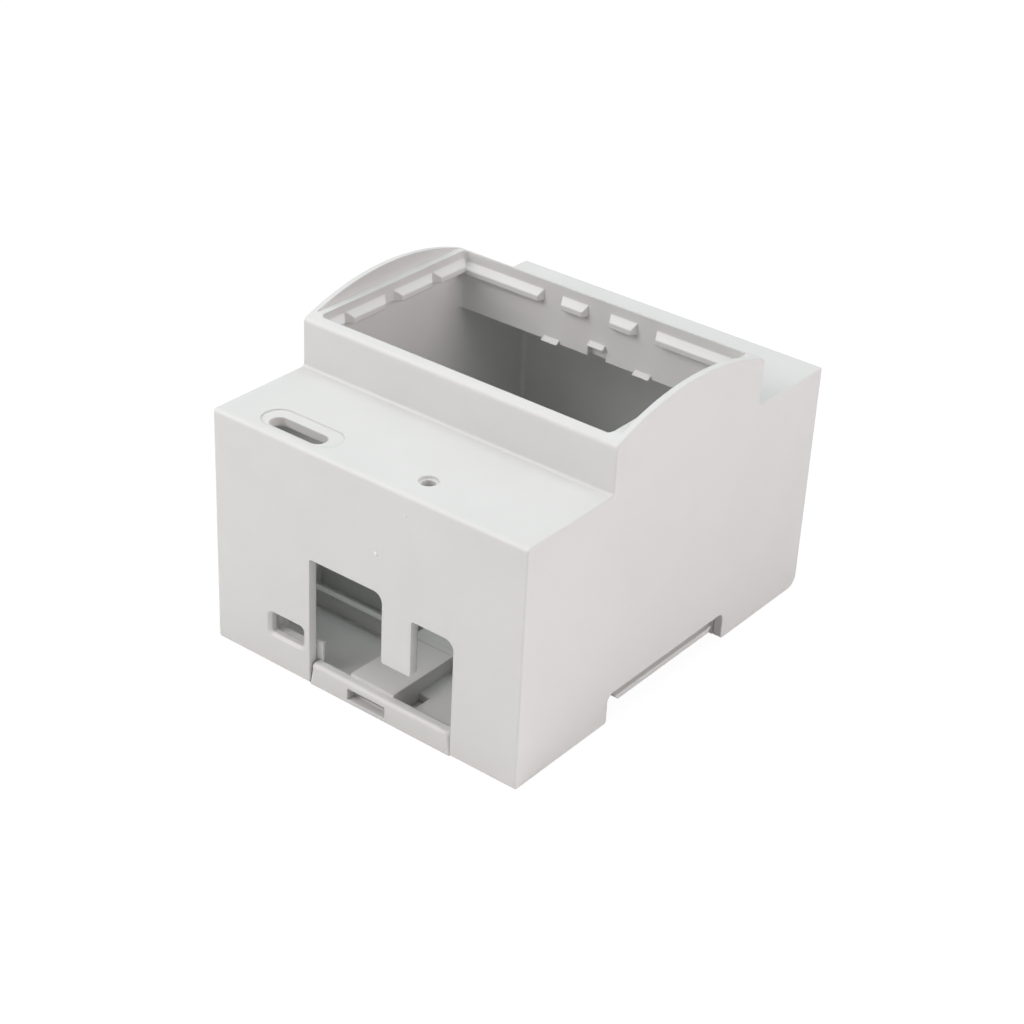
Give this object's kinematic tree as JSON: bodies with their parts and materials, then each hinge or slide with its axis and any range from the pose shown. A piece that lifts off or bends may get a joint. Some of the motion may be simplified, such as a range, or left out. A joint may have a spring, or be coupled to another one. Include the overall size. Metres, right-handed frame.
{
  "type": "rail-mount single-board computer enclosure",
  "caption": "Light grey moulded case with a raised arched front, shoulder slots and end openings for a single-board computer, with a sliding latch that clips it on a top-hat rail.",
  "frame": {"origin": "the middle of the bottom face, on the surface that the case stands on", "axes": "+X along the rail, +Y across it from the end with the connector openings to the plain end, +Z from the rail towards the open front"},
  "size_m": [0.0714, 0.09, 0.0625],
  "materials": {
    "housing_plastic": "finely eroded light grey moulding",
    "tray_plastic": "satin light grey moulding",
    "latch_plastic": "satin light grey moulding"
  },
  "bodies": {
    "housing": {"upper_housing": "housing_plastic", "base_tray": "tray_plastic"},
    "latch": {"rail_latch": "latch_plastic"}
  },
  "joints": [
    {"name": "latch_slide", "type": "slide", "parent": "housing", "child": "latch", "axis": [0, 1, 0], "range_m": [-0.0026, 0], "stiffness_N_per_m": 1500, "springref_m": 0.001}
  ]
}
